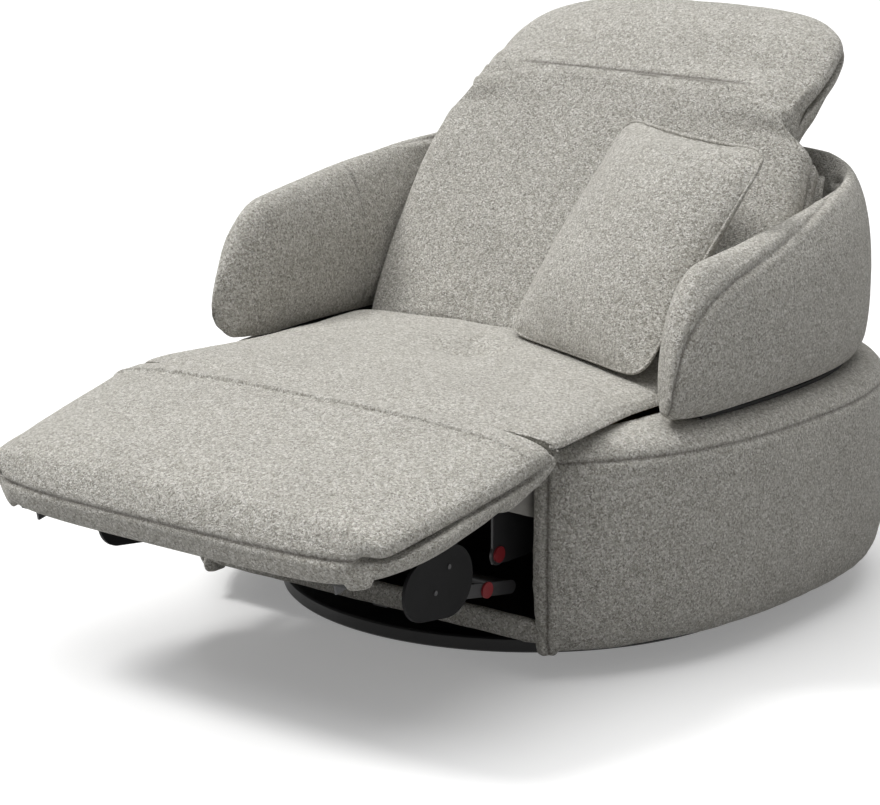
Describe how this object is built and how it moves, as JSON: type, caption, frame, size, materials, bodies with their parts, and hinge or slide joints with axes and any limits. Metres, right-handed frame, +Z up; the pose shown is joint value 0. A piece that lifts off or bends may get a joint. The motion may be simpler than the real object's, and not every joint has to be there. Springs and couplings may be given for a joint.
{
  "type": "swivel recliner armchair",
  "caption": "Round upholstered swivel recliner on a flat disc base, opened, with folding leg rest, reclining back, tilting head section and loose pillow.",
  "frame": {"origin": "centre of the base disc's underside, on the floor", "axes": "+Z up along the swivel axis, the chair faces -Y, +X is the right side as seen from the front"},
  "size_m": [1.1135, 1.5431, 0.9575],
  "materials": {
    "fabric": "warm light grey boucle over foam",
    "lining": "thin grey lining cloth",
    "webbing": "black elastic webbing",
    "pad_rubber": "matte black mat",
    "black_steel": "satin black powder coat",
    "bare_steel": "machined",
    "zinc_steel": "zinc plated",
    "plywood": "birch plywood",
    "black_plastic": "fine texture",
    "key_plastic": "light grey",
    "red_plastic": "red"
  },
  "bodies": {
    "base": {"floor_pad": "pad_rubber", "base_disc": "black_steel", "lower_race": "zinc_steel", "swivel_balls": "bare_steel", "centre_pin": "zinc_steel", "race_screws": "zinc_steel"},
    "drum": {"upper_race": "zinc_steel", "cross_frame": "black_steel", "bottom_board": "plywood", "side_panel_l": "plywood", "side_panel_r": "plywood", "rear_panel": "plywood", "front_fascia": "fabric", "drum_cover": "fabric", "wrap_spacer": "pad_rubber", "arm_wrap": "fabric", "slide_rails": "zinc_steel", "control_box": "black_plastic", "power_inlet": "black_plastic", "switch_plate": "black_plastic"},
    "open_key": {"button_open": "key_plastic"},
    "close_key": {"button_close": "key_plastic"},
    "carriage": {"side_plate_l": "black_steel", "side_plate_r": "black_steel", "cross_tubes": "black_steel", "seat_frame": "plywood", "seat_webbing": "webbing", "seat_cushion": "fabric", "seat_gussets": "lining", "leg_pins": "zinc_steel", "back_pins": "zinc_steel", "plate_bushes": "red_plastic", "leg_motor": "black_plastic", "back_motor": "black_plastic"},
    "leg_piston": {"leg_rod": "bare_steel"},
    "back_piston": {"back_rod": "bare_steel"},
    "leg_rest": {"leg_board": "plywood", "leg_pad": "fabric", "leg_bracket_l": "black_steel", "leg_bracket_r": "black_steel", "leg_tube": "black_steel", "cover_plate_l": "black_plastic", "cover_plate_r": "black_plastic", "cover_screws": "zinc_steel"},
    "leg_links": {"drive_links": "black_steel", "link_bushes": "red_plastic"},
    "back": {"back_frame": "black_steel", "back_webbing": "webbing", "back_cushion": "fabric", "back_cover": "fabric", "back_lever": "black_steel", "head_pins": "zinc_steel"},
    "head": {"head_board": "black_steel", "head_cushion": "fabric"},
    "pillow": {"throw_pillow": "fabric"}
  },
  "joints": [
    {"name": "swivel", "type": "hinge", "parent": "base", "child": "drum", "pos_m": [0, 0, 0.037], "axis": [0, 0, 1], "continuous": true},
    {"name": "carriage_slide", "type": "slide", "parent": "drum", "child": "carriage", "axis": [0, 1, 0], "range_m": [0, 0.05]},
    {"name": "leg_fold", "type": "hinge", "parent": "carriage", "child": "leg_rest", "pos_m": [0, -0.562, 0.384], "axis": [1, 0, 0], "range_deg": [0, 74]},
    {"name": "leg_link_turn", "type": "hinge", "parent": "leg_rest", "child": "leg_links", "pos_m": [0, -0.64, 0.185], "axis": [1, 0, 0], "range_deg": [-96, 0]},
    {"name": "leg_rod_slide", "type": "slide", "parent": "carriage", "child": "leg_piston", "axis": [0, 1, 0], "range_m": [0, 0.228]},
    {"name": "back_recline", "type": "hinge", "parent": "carriage", "child": "back", "pos_m": [0, 0.102, 0.41], "axis": [1, 0, 0], "range_deg": [0, 20.1]},
    {"name": "back_rod_slide", "type": "slide", "parent": "carriage", "child": "back_piston", "axis": [0, 1, 0], "range_m": [0, 0.038]},
    {"name": "head_tilt", "type": "hinge", "parent": "back", "child": "head", "pos_m": [0, 0.33504, 0.79861], "axis": [1, 0, 0], "range_deg": [0, 27]},
    {"name": "pillow_lean", "type": "hinge", "parent": "carriage", "child": "pillow", "pos_m": [-0.02, -0.036, 0.4454], "axis": [0.9336, -0.3584, 0], "range_deg": [0, 20.1]},
    {"name": "open_press", "type": "slide", "parent": "drum", "child": "open_key", "axis": [1, 0, 0], "range_m": [0, 0.0015], "stiffness_N_per_m": 400},
    {"name": "close_press", "type": "slide", "parent": "drum", "child": "close_key", "axis": [1, 0, 0], "range_m": [0, 0.0015], "stiffness_N_per_m": 400}
  ],
  "couplings": [
    {"joint": "back_recline", "follows": "carriage_slide", "rad_per_m": 6.9813},
    {"joint": "back_rod_slide", "follows": "carriage_slide", "ratio": 0.752},
    {"joint": "pillow_lean", "follows": "carriage_slide", "rad_per_m": 6.9813},
    {"joint": "leg_link_turn", "follows": "leg_fold", "ratio": -1.2824},
    {"joint": "leg_rod_slide", "follows": "leg_fold", "m_per_rad": 0.17576}
  ]
}
